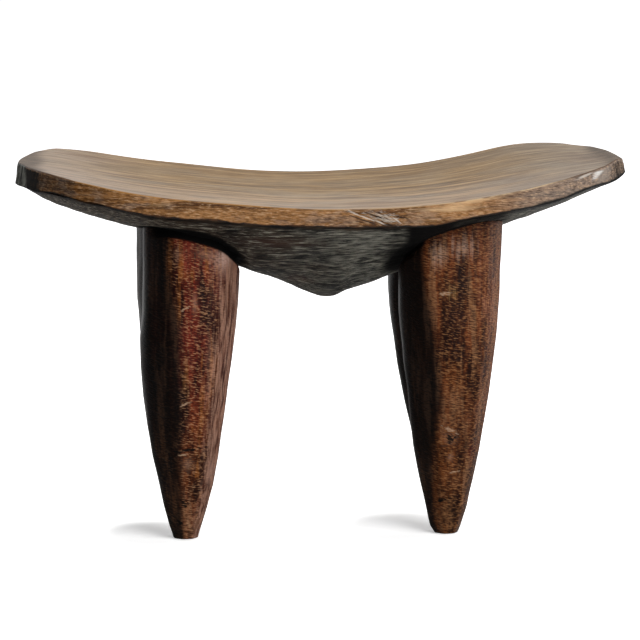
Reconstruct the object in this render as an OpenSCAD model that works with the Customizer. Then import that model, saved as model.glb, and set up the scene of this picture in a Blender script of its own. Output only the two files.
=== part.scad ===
// Four-legged wooden stool carved from one block, in millimetres.
// X runs along the seat, Y from front to rear and Z up. The feet stand on Z = 0.
// The seat is a swept slab, its underside is a hull that deepens to a blunt keel,
// and the swelling legs grow out of that hull.

/* [Seat] */
// Length of the seat over its lower edge
seat_length = 509; // [420:1:600]
// Depth of the seat from front to rear over its lower edge
seat_depth = 262; // [230:2:320]
// Height of the rim above the floor at the middle of the seat
seat_height = 277; // [240:1:340]
// How far the ends of the seat sweep up above its middle
end_rise = 30; // [10:1:50]
// Depth of the hollow across the sitting surface
seat_dish = 3; // [0:0.5:8]
// How square the front left corner is in plan, from cut away to full
front_left_bluntness = 7.5; // [4:0.5:16]
// How square the front right corner is in plan, from cut away to full
front_right_bluntness = 5; // [4:0.5:16]
// How square the two rear corners are in plan, from cut away to full
rear_bluntness = 14; // [4:0.5:18]

/* [Edge] */
// Thickness of the edge at the middle of the seat
edge_middle = 13; // [9:0.5:22]
// Thickness of the edge at the ends of the seat
edge_ends = 18; // [9:0.5:28]
// How far the edge leans outwards from its top to its bottom
edge_flare = 3; // [0:0.5:8]
// Radius of the worn upper arris
arris_radius = 3; // [1:0.5:6]

/* [Underside] */
// Depth of the hull from the lower edge to the keel at the middle
hull_depth = 76; // [40:2:100]
// Drop from the lower edge to the keel at the tips of the seat
end_lip = 4; // [1:0.5:8]
// Bluntness of the keel's lowest point, seen from the front
keel_radius = 10; // [4:1:30]
// How far the keel bows upwards between its lowest point and the tips
keel_bow = 7; // [0:0.5:12]
// How full the hull is across, over the left legs
left_fullness = 2.9; // [1.5:0.1:3.5]
// How full the hull is across, over the right legs
right_fullness = 1.8; // [1.5:0.1:3.5]
// How full the hull is across, at its middle
keel_fullness = 1.6; // [1.3:0.1:2.6]

/* [Legs] */
// Distance between the two front legs at their tops, centre to centre
front_leg_spacing = 211; // [170:1:230]
// Distance between the two rear legs at their tops, centre to centre
rear_leg_spacing = 215; // [170:1:230]
// Distance from the front legs to the rear legs, centre to centre
leg_spacing_y = 140; // [110:2:150]
// How far all the legs stand to the right of the seat's middle
leg_shift = -6; // [-12:1:12]
// How far a front foot stands to the right of its leg's top
front_leg_lean = -5; // [-12:1:12]
// How far a rear foot stands to the right of its leg's top
rear_leg_lean = 0; // [-12:1:12]
// Width of a leg across its flats where it has swollen to full size
leg_width = 80; // [60:1:90]
// Width of a foot across its flats, on the floor
foot_width = 19; // [14:1:34]
// Height at which a leg has swollen to its full width
swell_height = 200; // [120:5:230]
// Number of long facets that the adze left round a leg
leg_facets = 8; // [6:1:10]
// How far the ridges between those facets stand out, from round to sharp
facet_sharpness = 0.6; // [0:0.05:1]

/* [Hidden] */

half_length = seat_length / 2;
half_depth = seat_depth / 2;
keel_low = seat_height - edge_middle - hull_depth;
crest = seat_height + end_rise;

// The plan closes at the tips as a power of one minus a power of the length.
front_power = 0.9;
rear_power = 0.75;
// The rim rises with the square of the length and eases off with its fourth power.
sweep_square = 1.7;
sweep_fourth = -0.7;
// Distance from the middle over which the hull fills out towards the legs
fill_length = 60;

// Lengthwise stations, crosswise rows and steps round the upper arris
stations = 36;
rows = 18;
arris_steps = 3;
// Rings up a leg's swelling, and points round it on each facet
leg_rings = 10;
facet_points = 3;

ring = 2 * stations;
left = -1;
right = 1;
front = -1;
rear = 1;

slab_color = "#8b6c49";
hull_color = "#4d443a";
leg_color = "#63392a";

// Stations crowd together at the middle, for the keel, and at the tips, for the plan.
function station(i) = let (v = 2 * i / stations - 1) sign(v) * (1 - cos(180 * v)) / 2;

// Half the depth of the plan to the front or the rear, as a share of the whole half
function plan(u, side) =
    let (
        bluntness = side == rear ? rear_bluntness : u < 0 ? front_left_bluntness : front_right_bluntness,
        power = side == rear ? rear_power : front_power
    )
    pow(max(0, 1 - pow(abs(u), bluntness)), power);
// 0 on the middle line of the seat and 1 at its outline
function across(x, y) =
    min(1, abs(y) / max(half_depth * plan(x / half_length, y < 0 ? front : rear), 0.001));

function sweep(u) = sweep_square * pow(u, 2) + sweep_fourth * pow(u, 4);

// Heights along the seat: its rim, the lower edge of the slab and the keel
function rim_z(x) = seat_height + end_rise * sweep(x / half_length);
function edge_height(x) = edge_middle + (edge_ends - edge_middle) * pow(x / half_length, 2);
function lower_z(x) = rim_z(x) - edge_height(x);
function blunt_v(x) = sqrt(pow(x, 2) + pow(keel_radius, 2)) - keel_radius;
function keel_z(x) =
    let (
        out = abs(x) / half_length,
        end_low = lower_z(half_length) - end_lip,
        line = keel_low + (end_low - keel_low) * blunt_v(x) / blunt_v(half_length)
    )
    min(lower_z(x) - end_lip, line + 4 * keel_bow * out * (1 - out));

// Surfaces of the seat, each a height over the plan
function sitting_z(x, y) =
    let (u = x / half_length, width = min(plan(u, front), plan(u, rear)))
    rim_z(x) - seat_dish * pow(width, 2) * (1 - pow(across(x, y), 2));
function fullness(x) =
    let (over_legs = x < 0 ? left_fullness : right_fullness)
    over_legs - (over_legs - keel_fullness) * exp(-pow(x / fill_length, 2));
function hull_z(x, y) =
    lower_z(x) - (lower_z(x) - keel_z(x)) * (1 - pow(across(x, y), fullness(x)));

// A ring follows the plan at an inset, along the front and back along the rear.
function ring_point(s, inset) =
    let (i = s <= stations ? s : ring - s, side = s <= stations ? front : rear, u = station(i))
    [(half_length - inset) * u, side * (half_depth - inset) * plan(u, side)];
function row_point(i, j, inset) =
    let (u = station(i), over = j / rows)
    [
        (half_length - inset) * u,
        (half_depth - inset) * (over * plan(u, rear) - (1 - over) * plan(u, front))
    ];

// Number of the point at station i and row j of a surface that a ring bounds
function place(i, j, ring_start, row_start) =
    i == 0 || i == stations || j == 0 ? ring_start + i
    : j == rows ? ring_start + ring - i
    : row_start + (i - 1) * (rows - 1) + j - 1;
function surface_faces(ring_start, row_start, up) = [
    for (i = [0 : stations - 1], j = [0 : rows - 1])
        let (
            a = place(i, j, ring_start, row_start),
            b = place(i + 1, j, ring_start, row_start),
            c = place(i + 1, j + 1, ring_start, row_start),
            d = place(i, j + 1, ring_start, row_start)
        )
        for (f = [[a, b, c], [a, c, d]])
            if (f[0] != f[1] && f[1] != f[2] && f[2] != f[0])
                up ? [f[2], f[1], f[0]] : f
];
function surface_points(height, inset) = [
    for (i = [1 : stations - 1], j = [1 : rows - 1])
        let (p = row_point(i, j, inset))
        [p.x, p.y, height(p.x, p.y)]
];

// Solid between two surfaces over the plan, or under a flat top where none is given.
// Its levels are rings from the bottom up, each an inset and a height along the seat.
module hull_loft(bottom, top, levels) {
    last = len(levels) - 1;
    flat_top = is_undef(top);
    bottom_start = len(levels) * ring;
    top_start = bottom_start + (stations - 1) * (rows - 1);
    ring_points = [
        for (level = levels, s = [0 : ring - 1])
            let (p = ring_point(s, level[0]), height = level[1])
            [p.x, p.y, height(p.x)]
    ];
    ring_faces = [
        for (k = [0 : 1 : last - 1], s = [0 : ring - 1])
            let (
                a = k * ring + s,
                b = k * ring + (s + 1) % ring
            )
            for (f = [[a, a + ring, b + ring], [a, b + ring, b]])
                f
    ];
    polyhedron(
        points = concat(
            ring_points,
            surface_points(bottom, levels[0][0]),
            flat_top ? [] : surface_points(top, levels[last][0])
        ),
        faces = concat(
            ring_faces,
            surface_faces(0, bottom_start, false),
            flat_top
                ? [[for (s = [ring - 1 : -1 : 0]) last * ring + s]]
                : surface_faces(last * ring, top_start, true)
        )
    );
}

// Width of a leg at a height: it swells from the foot as a parabola, then stays straight.
function leg_width_at(z) =
    let (rest = 1 - min(1, z / swell_height))
    foot_width + (leg_width - foot_width) * (1 - pow(rest, 2));
// A facet is flat at sharpness 1 and an arc at 0. One of them faces the front.
function facet_reach(angle) =
    let (
        pitch = 360 / leg_facets,
        turn = angle + 90 + pitch / 2,
        off = abs(turn - pitch * floor(turn / pitch) - pitch / 2)
    )
    1 + facet_sharpness * (1 / cos(off) - 1);
function leg_heights() = concat(
    [for (k = [0 : leg_rings]) swell_height * pow(k / leg_rings, 1.3)],
    [crest]
);

module leg_blank(x, y, lean) {
    count = leg_facets * facet_points;
    heights = leg_heights();
    last = len(heights) - 1;
    points = [
        for (z = heights, k = [0 : count - 1])
            let (
                angle = 360 * (k + 0.5) / count,
                reach = leg_width_at(z) / 2 * facet_reach(angle),
                aside = lean * (1 - pow(z / crest, 2))
            )
            [x + aside + reach * cos(angle), y + reach * sin(angle), z]
    ];
    sides = [
        for (r = [0 : last - 1], k = [0 : count - 1])
            let (a = r * count + k, b = r * count + (k + 1) % count)
            for (f = [[a, a + count, b + count], [a, b + count, b]])
                f
    ];
    foot = [for (k = [0 : count - 1]) k];
    head = [for (k = [count - 1 : -1 : 0]) last * count + k];
    polyhedron(points = points, faces = concat(sides, [foot, head]));
}

// Everything over the hull, from which a leg's head takes its hollow
module over_hull() {
    over = crest + end_rise;
    hull_loft(
        function (x, y) hull_z(x, y),
        undef,
        [[0, function (x) lower_z(x)], [0, function (x) over]]
    );
}

module leg(side, end) {
    spacing = end == front ? front_leg_spacing : rear_leg_spacing;
    lean = end == front ? front_leg_lean : rear_leg_lean;
    color(leg_color)
    difference() {
        leg_blank(leg_shift + side * spacing / 2, end * leg_spacing_y / 2, lean);
        over_hull();
    }
}

module seat() {
    edge_levels = concat(
        [[0, function (x) lower_z(x)]],
        [
            for (k = [0 : arris_steps])
                let (turn = 90 * k / arris_steps)
                [
                    edge_flare + arris_radius * (1 - cos(turn)),
                    function (x) rim_z(x) - arris_radius * (1 - sin(turn))
                ]
        ]
    );
    color(slab_color)
    hull_loft(function (x, y) lower_z(x), function (x, y) sitting_z(x, y), edge_levels);
}

module keel() {
    color(hull_color)
    hull_loft(
        function (x, y) hull_z(x, y),
        function (x, y) lower_z(x),
        [[0, function (x) lower_z(x)]]
    );
}

module leg_front_left() leg(left, front);
module leg_front_right() leg(right, front);
module leg_back_left() leg(left, rear);
module leg_back_right() leg(right, rear);

seat();
keel();
leg_front_left();
leg_front_right();
leg_back_left();
leg_back_right();
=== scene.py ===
import bpy
import math
import numpy as np
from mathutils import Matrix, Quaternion, Vector, noise


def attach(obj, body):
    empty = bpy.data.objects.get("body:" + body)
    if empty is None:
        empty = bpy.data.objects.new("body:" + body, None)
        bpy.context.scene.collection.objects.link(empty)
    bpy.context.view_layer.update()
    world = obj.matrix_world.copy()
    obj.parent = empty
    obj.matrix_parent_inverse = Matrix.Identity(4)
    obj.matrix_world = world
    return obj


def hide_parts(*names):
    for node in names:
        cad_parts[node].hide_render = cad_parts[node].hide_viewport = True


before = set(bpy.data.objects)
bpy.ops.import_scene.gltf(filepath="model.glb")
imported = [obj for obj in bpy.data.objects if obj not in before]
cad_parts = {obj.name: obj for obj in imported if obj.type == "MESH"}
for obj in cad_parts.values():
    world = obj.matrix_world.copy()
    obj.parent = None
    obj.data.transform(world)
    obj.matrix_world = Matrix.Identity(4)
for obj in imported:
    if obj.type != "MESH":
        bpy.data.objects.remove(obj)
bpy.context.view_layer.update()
print("frame loaded:", ", ".join(sorted(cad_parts)))

mm = 0.001  # Shapes are worked out in millimetres, and the scene is in metres


def linear(hexColour):
    # An sRGB hex value as the linear colour that a shader takes
    parts = [int(hexColour[i:i + 2], 16) / 255 for i in (1, 3, 5)]
    return tuple(p / 12.92 if p <= 0.04045 else ((p + 0.055) / 1.055) ** 2.4 for p in parts) + (1.0,)


def freeHands():
    # Out of edit mode and with nothing selected, before the next piece is begun
    if bpy.context.object and bpy.context.object.mode != "OBJECT":
        bpy.ops.object.mode_set(mode="OBJECT")
    bpy.ops.object.select_all(action="DESELECT")


def takeUp(piece, mode="OBJECT"):
    # Selects the piece alone and makes it the active one
    freeHands()
    piece.select_set(True)
    bpy.context.view_layer.objects.active = piece
    bpy.ops.object.mode_set(mode=mode)


def pointsOf(piece):
    points = np.empty(len(piece.data.vertices) * 3)
    piece.data.vertices.foreach_get("co", points)
    return points.reshape(-1, 3) / mm


def movePoints(piece, points):
    piece.data.vertices.foreach_set("co", (points * mm).ravel())
    piece.data.update()


def near(value, middle, reach):
    return np.exp(-((value - middle) / reach) ** 2)


def smooth(value, low, high):
    # From 0 at low to 1 at high, whichever of the two is larger
    t = np.clip((value - low) / (high - low), 0, 1)
    return t * t * (3 - 2 * t)


def between(value, start, full, fade, end):
    # Rises from start to full, and falls again from fade to end
    return smooth(value, start, full) * (1 - smooth(value, fade, end))


def waves(points, size, seed):
    # Smooth noise from -1 to 1 at each point; size is the wave along x, y and z
    scale = 1 / np.array(size)
    return np.array([noise.noise(Vector(p * scale) + Vector((seed, 0, 0))) for p in points])


def tooled(points, marks, shift=0):
    # What the adze left: how deep its waves are, their size, and the seed of the noise
    depth, size, seed = marks
    return depth * waves(points, size, seed + shift)


# Camera, where the photograph was taken from
camera = {
    "azimuth": -4.21,
    "distance": 3.0,
    "height": 0.659,
    "aim": (-0.0023, 0, 0.1676),
    "roll": -0.26,
    "lens": 204.47,
    "clipEnd": 60,
}
freeHands()
turn = math.radians(camera["azimuth"])
stand = Vector((math.sin(turn), -math.cos(turn), 0)) * camera["distance"]
stand.z = camera["height"]
bpy.ops.object.camera_add(location=stand)
eye = bpy.context.object
eye.name = "studioCamera"
eye.rotation_mode = "QUATERNION"
look = (Vector(camera["aim"]) - stand).to_track_quat("-Z", "Y")
eye.rotation_quaternion = look @ Quaternion((0, 0, 1), math.radians(camera["roll"]))
eye.data.lens = camera["lens"]
eye.data.clip_end = camera["clipEnd"]
bpy.context.scene.camera = eye
print("camera set")


# The block that the stool is cut from. Sides are -1 at the left or in front, and 1 at the right or rear.
block = {
    "halfLength": 254.3,
    "halfDepth": 130.8,
    # How square each corner is in plan, by its two sides; no two are cut alike
    "corners": {(-1, -1): (7.4, 0.9), (1, -1): (4.6, 0.85), (-1, 1): (14.0, 0.7), (1, 1): (14.0, 0.8)},
    # Heights of the two rims and of the edge as factors of the powers of x, and the cuts that change them:
    # place, rise and reach
    "frontRim": (277.8, -3.3, 41.6, 2.2, -14.6),
    "frontCuts": ((-150, -1.2, 40), (-63, 0.6, 40)),
    "rearRim": (278.4, 3.3, 50.3, -4.4, -23.4),
    "rearCuts": ((-237, -1.5, 9), (-160, -0.7, 45), (-95, 0.9, 45), (95, -1.6, 40), (172, 1.7, 26),
                 (229, -2.2, 17)),
    "edge": (15.2, -1.6, -1.1),
    "edgeCuts": ((76, 2.8, 22), (-17, -1.3, 32), (-97, -1.2, 20), (-180, -1.4, 18), (-217, -1.5, 17),
                 (212, -1.0, 18), (178, 1.9, 40), (242, 3.2, 17), (-238, 1.6, 9), (-258, 4.5, 14)),
    # Places and heights along the keel
    "keel": ((-255, 290), (-232, 277.5), (-199, 265.5), (-152, 252), (-67, 216), (-34, 202.8), (-17, 194.8),
             (-9, 190.4), (1.5, 188), (10, 188.8), (21, 194), (33, 197.6), (56, 206.6), (153, 250.7),
             (184, 261.8), (218, 274), (255, 287)),
    "leastDepth": 2,
    # How full the hull is across, at the left, at the right and within fillLength of the keel's middle
    "leftFullness": 2.9, "rightFullness": 1.8, "keelFullness": 1.6,
    "fillLength": 60,
    "dish": 3.0,
}


def widthAt(u, end):
    # Half the seat's depth at u, from -1 to 1 along it, as a share of the whole half; end is -1 in front
    u = np.asarray(u, float)
    leftPower, leftRound = block["corners"][(-1, end)]
    rightPower, rightRound = block["corners"][(1, end)]
    power = np.where(u < 0, leftPower, rightPower)
    rounding = np.where(u < 0, leftRound, rightRound)
    return np.maximum(1 - np.abs(u) ** power, 0) ** rounding


def heightAlong(x, powers, cuts):
    u = np.clip(x / block["halfLength"], -1, 1)
    height = sum(c * u ** k for k, c in enumerate(powers))
    for place, rise, reach in cuts:
        height = height + rise * near(x, place, reach)
    return height


def rimHeight(x, y):
    front = heightAlong(x, block["frontRim"], block["frontCuts"])
    rear = heightAlong(x, block["rearRim"], block["rearCuts"])
    share = (1 + np.clip(y / block["halfDepth"], -1, 1)) / 2
    return front * (1 - share) + rear * share


def edgeHeight(x):
    return heightAlong(x, block["edge"], block["edgeCuts"])


def lowerHeight(x, y):
    return rimHeight(x, y) - edgeHeight(x)


def acrossAt(x, y):
    # 0 on the middle line of the seat and 1 at its front or rear outline
    u = np.clip(x / block["halfLength"], -1, 1)
    half = np.where(y < 0, widthAt(u, -1), widthAt(u, 1)) * block["halfDepth"]
    return np.minimum(np.abs(y) / np.maximum(half, 0.01), 1)


def sittingHeight(x, y):
    u = np.clip(x / block["halfLength"], -1, 1)
    width = np.minimum(widthAt(u, -1), widthAt(u, 1))
    return rimHeight(x, y) - block["dish"] * width ** 2 * (1 - acrossAt(x, y) ** 2)


keelX, keelZ = np.array(block["keel"], float).T


def keelHeight(x):
    # A smooth line through the measured points of the keel
    slopes = np.gradient(keelZ, keelX)
    i = np.clip(np.searchsorted(keelX, x) - 1, 0, len(keelX) - 2)
    gap = keelX[i + 1] - keelX[i]
    t = np.clip((x - keelX[i]) / gap, 0, 1)
    return ((2 * t ** 3 - 3 * t ** 2 + 1) * keelZ[i] + (t ** 3 - 2 * t ** 2 + t) * gap * slopes[i]
            + (3 * t ** 2 - 2 * t ** 3) * keelZ[i + 1] + (t ** 3 - t ** 2) * gap * slopes[i + 1])


def hullHeight(x, y):
    full = np.where(x < 0, block["leftFullness"], block["rightFullness"])
    fill = full - (full - block["keelFullness"]) * near(x, 0, block["fillLength"])
    lower = lowerHeight(x, y)
    low = np.minimum(keelHeight(x), lower - block["leastDepth"])
    return lower - (lower - low) * (1 - acrossAt(x, y) ** fill)


# The outline in plan, cut in facets by the adze at the corners and left smooth between them
outline = {
    "count": 2400,
    "facetEnds": {
        (-1, -1): (-253.6, -244.3, -234.5, -208, -181), (1, -1): (252.4, 232.5, 212.5, 189.5, 161.5),
        (-1, 1): (-252.5, -241, -223, -197), (1, 1): (252.5, 239.5, 220.5, 193),
    },
    "facetFlatness": 0.75,
    # How far the ends lean in, as a share of how far the front and the rear do
    "endLean": 0.55,
}


def cutOutline():
    u = np.sin(np.linspace(-math.pi / 2, math.pi / 2, outline["count"] // 2 + 1))
    sides = {}
    for end in (-1, 1):
        x = u * block["halfLength"]
        y = end * widthAt(u, end) * block["halfDepth"]
        flat = y.copy()
        for side in (-1, 1):
            ends = np.sort(np.array(outline["facetEnds"][(side, end)], float))
            ends = np.clip(ends, -block["halfLength"], block["halfLength"])
            chord = np.interp(x, ends, np.interp(ends, x, y))
            inside = (x >= ends[0]) & (x <= ends[-1])
            flat = np.where(inside, y + (chord - y) * outline["facetFlatness"], flat)
        sides[end] = np.stack([x, flat], 1)
    # Round from the left tip along the front and back along the rear
    ring = np.concatenate([sides[-1], sides[1][::-1][1:-1]])
    steps = np.linalg.norm(np.diff(np.vstack([ring, ring[:1]]), axis=0), axis=1)
    length = np.concatenate([[0], np.cumsum(steps)])
    return np.vstack([ring, ring[:1]]), length


ring, ringLength = cutOutline()


def ringAt(distance):
    wrapped = np.mod(distance, ringLength[-1])
    return np.stack([np.interp(wrapped, ringLength, ring[:, k]) for k in (0, 1)], -1)


def ringPlace(x, end):
    # Distance round the outline of the point at x on the front (-1) or the rear (1)
    half = len(ring) // 2
    if end < 0:
        return np.interp(x, ring[:half + 1, 0], ringLength[:half + 1])
    return np.interp(-x, -ring[half:-1, 0], ringLength[half:-1])


# The grid that the seat and the underside start from: x of its corners, and how many faces each way
grid = {"cornerX": 224, "along": 152, "over": 78}
cornerAt = [ringPlace(-grid["cornerX"], -1), ringPlace(grid["cornerX"], -1),
            ringPlace(grid["cornerX"], 1), ringPlace(-grid["cornerX"], 1)]


def planPoint(s, t):
    # Place in plan of the point s along and t across the grid, both from 0 to 1
    total = ringLength[-1]
    front = ringAt(cornerAt[0] + s * (cornerAt[1] - cornerAt[0]))
    right = ringAt(cornerAt[1] + t * (cornerAt[2] - cornerAt[1]))
    rear = ringAt(cornerAt[3] - s * (cornerAt[3] - cornerAt[2]))
    left = ringAt(cornerAt[3] + (1 - t) * (total + cornerAt[0] - cornerAt[3]))
    a, b, c, d = (ringAt(np.full_like(s, place)) for place in cornerAt)
    s, t = s[:, None], t[:, None]
    return ((1 - t) * front + t * rear + (1 - s) * left + s * right
            - (1 - s) * (1 - t) * a - s * (1 - t) * b - s * t * c - (1 - s) * t * d)


def insetPoint(points, inset):
    # Moves points of the outline inwards by a share of the half sizes, so that rings stay like each other
    scale = 1 - inset * np.array([outline["endLean"] / block["halfLength"], 1 / block["halfDepth"]])
    return points * scale


def startGrid(name):
    freeHands()
    bpy.ops.mesh.primitive_grid_add(x_subdivisions=grid["along"], y_subdivisions=grid["over"], size=1)
    piece = bpy.context.object
    piece.name = name
    piece.data.name = name
    mesh = piece.data
    for label, axis in (("along", 0), ("over", 1)):
        layer = mesh.attributes.new(label, "FLOAT", "POINT")
        for i, v in enumerate(mesh.vertices):
            layer.data[i].value = v.co[axis] + 0.5
    mesh.attributes.new("girth", "FLOAT", "POINT")
    return piece


def layerOf(piece, label):
    values = np.empty(len(piece.data.vertices))
    piece.data.attributes[label].data.foreach_get("value", values)
    return values


def addLayer(piece, label, values):
    # A number for each point that the piece's material reads
    layer = piece.data.attributes.new(label, "FLOAT", "POINT")
    layer.data.foreach_set("value", values)


def selectBorder():
    bpy.ops.mesh.select_mode(type="EDGE")
    bpy.ops.mesh.select_all(action="DESELECT")
    bpy.ops.mesh.select_non_manifold(extend=False, use_wire=False, use_multi_face=False,
                                     use_non_contiguous=False, use_verts=False)


def extrudeBorder(piece, times):
    # Extrudes the border's edges again and again, and numbers the rings in the girth layer
    takeUp(piece, "EDIT")
    selectBorder()
    for k in range(times):
        bpy.ops.mesh.extrude_edges_move(TRANSFORM_OT_translate={"value": (0, 0, 0)})
        bpy.ops.object.mode_set(mode="OBJECT")
        layer = piece.data.attributes["girth"]
        for v in piece.data.vertices:
            if v.select:
                layer.data[v.index].value = k + 1
        bpy.ops.object.mode_set(mode="EDIT")
    bpy.ops.object.mode_set(mode="OBJECT")


def closeBorder(piece, lift=0, squeeze=(1, 1, 1)):
    # Fills the open border, or first lifts it into the wood above
    takeUp(piece, "EDIT")
    selectBorder()
    if lift:
        bpy.ops.mesh.extrude_edges_move(TRANSFORM_OT_translate={"value": (0, 0, lift * mm)})
        bpy.ops.transform.resize(value=squeeze, center_override=(0, 0, 0))
    bpy.ops.mesh.fill(use_beauty=True)
    bpy.ops.mesh.select_all(action="SELECT")
    bpy.ops.mesh.normals_make_consistent(inside=False)
    bpy.ops.object.mode_set(mode="OBJECT")


def smoothed(piece, levels):
    takeUp(piece)
    modifier = piece.modifiers.new("smoothing", "SUBSURF")
    modifier.levels = modifier.render_levels = levels
    modifier.boundary_smooth = "ALL"
    bpy.ops.object.modifier_apply(modifier=modifier.name)


def pushOut(piece, amount):
    # Moves each point along its normal by so many millimetres
    normals = np.empty(len(piece.data.vertices) * 3)
    piece.data.vertices.foreach_get("normal", normals)
    movePoints(piece, pointsOf(piece) + normals.reshape(-1, 3) * amount[:, None])


# Seat: the sitting surface, its worn arris and the hacked edge, down to where the underside begins
seat = {
    # Inset of the sitting surface, and inset and drop of each ring round it: of the arris in millimetres
    # below the rim, and of the face in shares of the edge's height
    "topInset": 7.6,
    "arris": ((6.4, 0.1), (5.2, 0.5), (4.2, 1.3), (3.5, 2.5), (3.0, 4.2)),
    "face": ((2.2, 0.45), (1.2, 0.72), (0.3, 0.93), (0.0, 1.0)),
    # How far the worn top drops at the left and the right tip, and from where along the seat to tipEnd
    "tipDrops": ((-1, 1.6, 232), (1, 3.2, 243)), "tipEnd": 254,
    # How far the top and the edge stand back from the block, and on which rings
    "topBack": 0.2, "topRings": (3, 0.5),
    "edgeBack": 0.3, "edgeRings": (1.5, 5, 7.8, 9),
    "topWaves": (0.45, (90, 38, 60), 3),
    "edgeWaves": (0.5, (26, 26, 14), 11),
    "edgeChips": (0.3, (7, 7, 5), 23),
    # Ends of the gash along x and z, how deep and wide it was torn, and where it starts, is full and stops
    "gash": ((7, 277), (47, 264)), "gashDepth": 1.3, "gashWidth": 1.9, "gashEnds": (-0.1, 0.15, 0.85, 1.1),
    # Soot of the two ends, with painted shade at the left end, whose facets turn from the lamps: how much,
    # and between which places along the seat it grows; and on which rings
    "sootAndShade": ((0.6, -229, -240), (0.42, -196, -230), (0.25, 150, 200), (0.35, 228, 242)),
    "sootAndShadeRings": (2.5, 4.5),
    # Marks of the front edge: middle, half sizes along x, y and z, and turn in degrees
    "lightScars": (((27, -131, 270), (20, 9, 0.7), 20), ((38, -131, 266.3), (9, 9, 0.8), 26),
                   ((14, -131, 275.6), (9, 9, 0.7), 24), ((50, -131, 268.5), (7, 9, 0.7), 36)),
    "darkScars": (((24, -131, 268.6), (17, 9, 0.7), 20), ((31, -131, 273), (13, 9, 0.6), 20),
                  ((52, -131, 271), (9, 9, 1.2), 8), ((44, -131, 264.5), (7, 9, 1.4), 0)),
    "splinters": ((38, -131, 271), (17, 9, 5), 14),
    # Pale patches of the edge, each with its colour and share: worn ones, and at the right end, where hands
    # that lift it polish it, a painted glint and sheen
    "palePatches": ((((103, -125, 281), (42, 34, 9), -14), "#d8b184", 0.75),
                    (((-141, -121, 286), (14, 9, 5), 12), "#d0a87a", 0.65),
                    (((228, -62, 293), (17, 30, 7), -22), "#8f8378", 0.7),
                    (((223, -72, 295), (13, 14, 3), -20), "#f0eeea", 0.7),
                    (((209, -84, 296), (13, 16, 1.2), -14), "#cfc8be", 0.5)),
    # Darker streaks of the top, each with its colour and share
    "streaks": ((((-55, 34, 277), (110, 13, 20), 0), "#6b5138", 0.5),
                (((-185, 95, 294), (45, 22, 22), 0), "#745337", 0.6),
                (((115, 12, 285), (80, 14, 25), 0), "#7a5f45", 0.2),
                (((-60, -40, 277), (70, 10, 20), 0), "#7d6248", 0.4),
                (((222, 10, 300), (26, 60, 22), 0), "#6e5548", 0.5)),
}


def shapeSeat(piece):
    points = planPoint(layerOf(piece, "along"), layerOf(piece, "over"))
    girth = layerOf(piece, "girth").round().astype(int)
    inset = np.full(len(girth), seat["topInset"])
    for k, (ringInset, _) in enumerate(seat["arris"] + seat["face"], 1):
        inset[girth == k] = ringInset
    plan = insetPoint(points, inset[:, None])
    x, y = plan[:, 0], plan[:, 1]
    z = sittingHeight(x, y)
    rim = rimHeight(x, y)
    for k, (_, drop) in enumerate(seat["arris"], 1):
        z = np.where(girth == k, rim - drop, z)
    for side, drop, start in seat["tipDrops"]:
        z = z - drop * smooth(x * side, start, seat["tipEnd"])
    for k, (_, share) in enumerate(seat["face"], len(seat["arris"]) + 1):
        z = np.where(girth == k, rim - share * edgeHeight(x), z)
    movePoints(piece, np.stack([x, y, z], 1))


slab = startGrid("seatSlab")
extrudeBorder(slab, len(seat["arris"]) + len(seat["face"]))
shapeSeat(slab)
smoothed(slab, 1)
closeBorder(slab)
points = pointsOf(slab)
girth = layerOf(slab, "girth")
onTop = smooth(girth, *seat["topRings"])
onEdge = between(girth, *seat["edgeRings"])
amount = -onTop * (seat["topBack"] + np.abs(tooled(points, seat["topWaves"])))
amount -= onEdge * (seat["edgeBack"] + tooled(points, seat["edgeWaves"]))
amount -= onEdge * tooled(points, seat["edgeChips"])
(startX, startZ), (endX, endZ) = seat["gash"]
runX, runZ = endX - startX, endZ - startZ
fromX, fromZ = points[:, 0] - startX, points[:, 2] - startZ
along = (fromX * runX + fromZ * runZ) / (runX ** 2 + runZ ** 2)
aside = np.hypot(fromX - along * runX, fromZ - along * runZ)
torn = between(along, *seat["gashEnds"]) * (points[:, 1] < 0)
amount -= seat["gashDepth"] * torn * onEdge * near(aside, 0, seat["gashWidth"])
pushOut(slab, amount)
# Soot of the ends, with painted shade at the left end
sootAndShade = sum(most * smooth(points[:, 0], start, full) for most, start, full in seat["sootAndShade"])
addLayer(slab, "sootAndShade", sootAndShade * smooth(girth, *seat["sootAndShadeRings"]))
print("seat made:", len(slab.data.polygons), "faces")


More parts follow.
